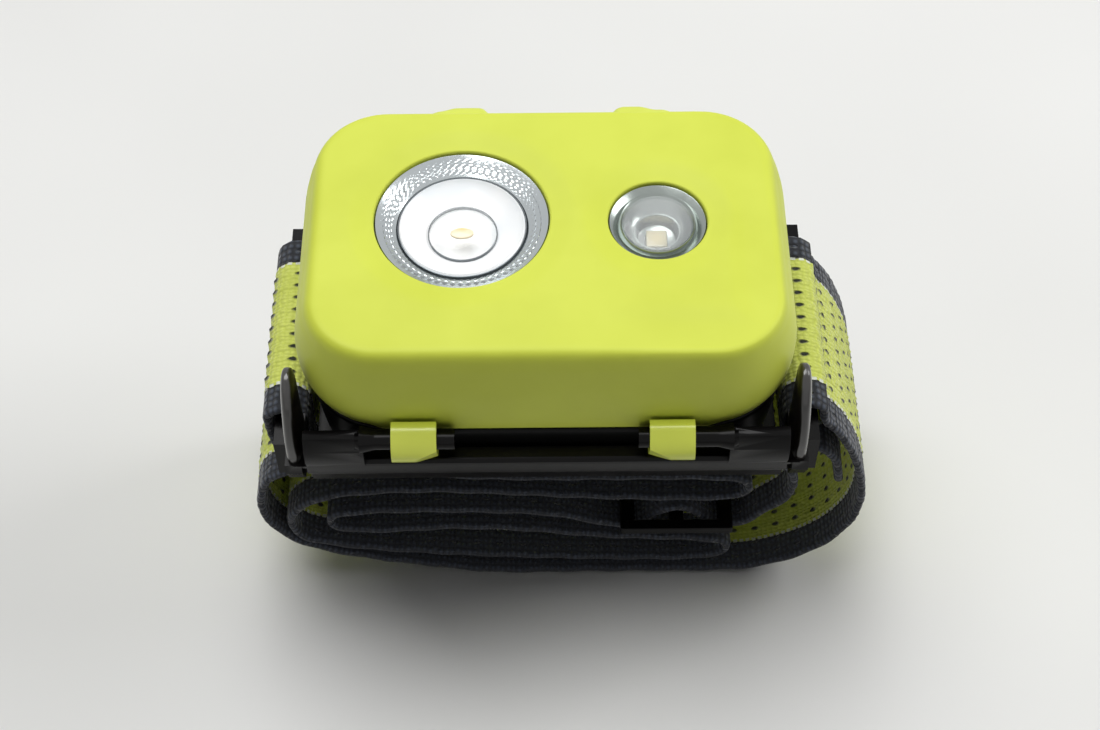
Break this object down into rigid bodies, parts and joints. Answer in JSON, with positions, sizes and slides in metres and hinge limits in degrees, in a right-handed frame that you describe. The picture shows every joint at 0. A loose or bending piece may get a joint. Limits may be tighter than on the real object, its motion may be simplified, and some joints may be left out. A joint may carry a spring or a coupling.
{
  "type": "headlamp",
  "caption": "Compact headlamp with a spot and a flood lens, push buttons, a tilting head on a strap bracket and a folded elastic headband.",
  "frame": {"origin": "centre of the outline on the surface that the folded headband lies on", "axes": "+X along the lamp towards the flood lens, +Y from the pivot edge to the button edge, +Z out of the lenses"},
  "size_m": [0.0894, 0.0508, 0.0668],
  "materials": {
    "soft_shell": "soft-touch lime moulding, fine matte grain",
    "gloss_shell": "lime moulding, satin gloss",
    "smoke_plastic": "smoked near-black polycarbonate, polished",
    "black_plastic": "black moulding",
    "white_plastic": "white moulding",
    "clear_optic": "clear moulded optic",
    "led_phosphor": "phosphor coated chip",
    "circuit_board": "solder mask",
    "board_aluminium": "white masked core board",
    "steel": "nickel plated",
    "contact_gold": "gold flash",
    "silicone": "matte silicone",
    "cell_sleeve": "printed sleeve without lettering",
    "webbing": "knitted elastic with ribbed borders"
  },
  "bodies": {
    "bracket": {"bracket": "smoke_plastic", "headband": "webbing", "headband_slider": "smoke_plastic"},
    "battery_cover": {"battery_cover": "gloss_shell", "cover_hinge_pin": "steel", "battery_cell_1": "cell_sleeve", "contact_spring_1": "steel", "contact_stud_1": "steel", "battery_cell_2": "cell_sleeve", "contact_spring_2": "steel", "contact_stud_2": "steel", "battery_cell_3": "cell_sleeve", "contact_spring_3": "steel", "contact_stud_3": "steel", "contact_block_left": "black_plastic", "contact_block_right": "black_plastic"},
    "lamp_head": {"front_shell": "soft_shell", "spot_lens": "clear_optic", "flood_lens": "clear_optic", "spot_lens_holder": "white_plastic", "flood_lens_holder": "white_plastic", "spot_lens_seal": "silicone", "flood_lens_seal": "silicone", "spot_led": "led_phosphor", "flood_led": "led_phosphor", "led_board": "board_aluminium", "main_board": "circuit_board", "chassis": "black_plastic", "battery_seal": "silicone", "switch_board": "circuit_board", "chassis_screw_1": "steel", "chassis_screw_2": "steel", "chassis_screw_3": "steel", "chassis_screw_4": "steel", "spot_switch": "black_plastic", "flood_switch": "black_plastic", "power_pin_minus": "contact_gold", "power_pin_plus": "contact_gold"},
    "spot_button": {"spot_button": "soft_shell"},
    "flood_button": {"flood_button": "soft_shell"}
  },
  "joints": [
    {"name": "tilt", "type": "hinge", "parent": "bracket", "child": "battery_cover", "pos_m": [-0.00196, -0.02255, 0.05144], "axis": [1, 0, 0], "range_deg": [0, 60]},
    {"name": "battery_open", "type": "hinge", "parent": "battery_cover", "child": "lamp_head", "pos_m": [-0.00196, 0.02395, 0.05069], "axis": [-1, 0, 0], "range_deg": [0, 80]},
    {"name": "spot_button_press", "type": "slide", "parent": "lamp_head", "child": "spot_button", "axis": [0, -1, 0], "range_m": [0, 0.0008], "stiffness_N_per_m": 1200},
    {"name": "flood_button_press", "type": "slide", "parent": "lamp_head", "child": "flood_button", "axis": [0, -1, 0], "range_m": [0, 0.0008], "stiffness_N_per_m": 1200}
  ]
}
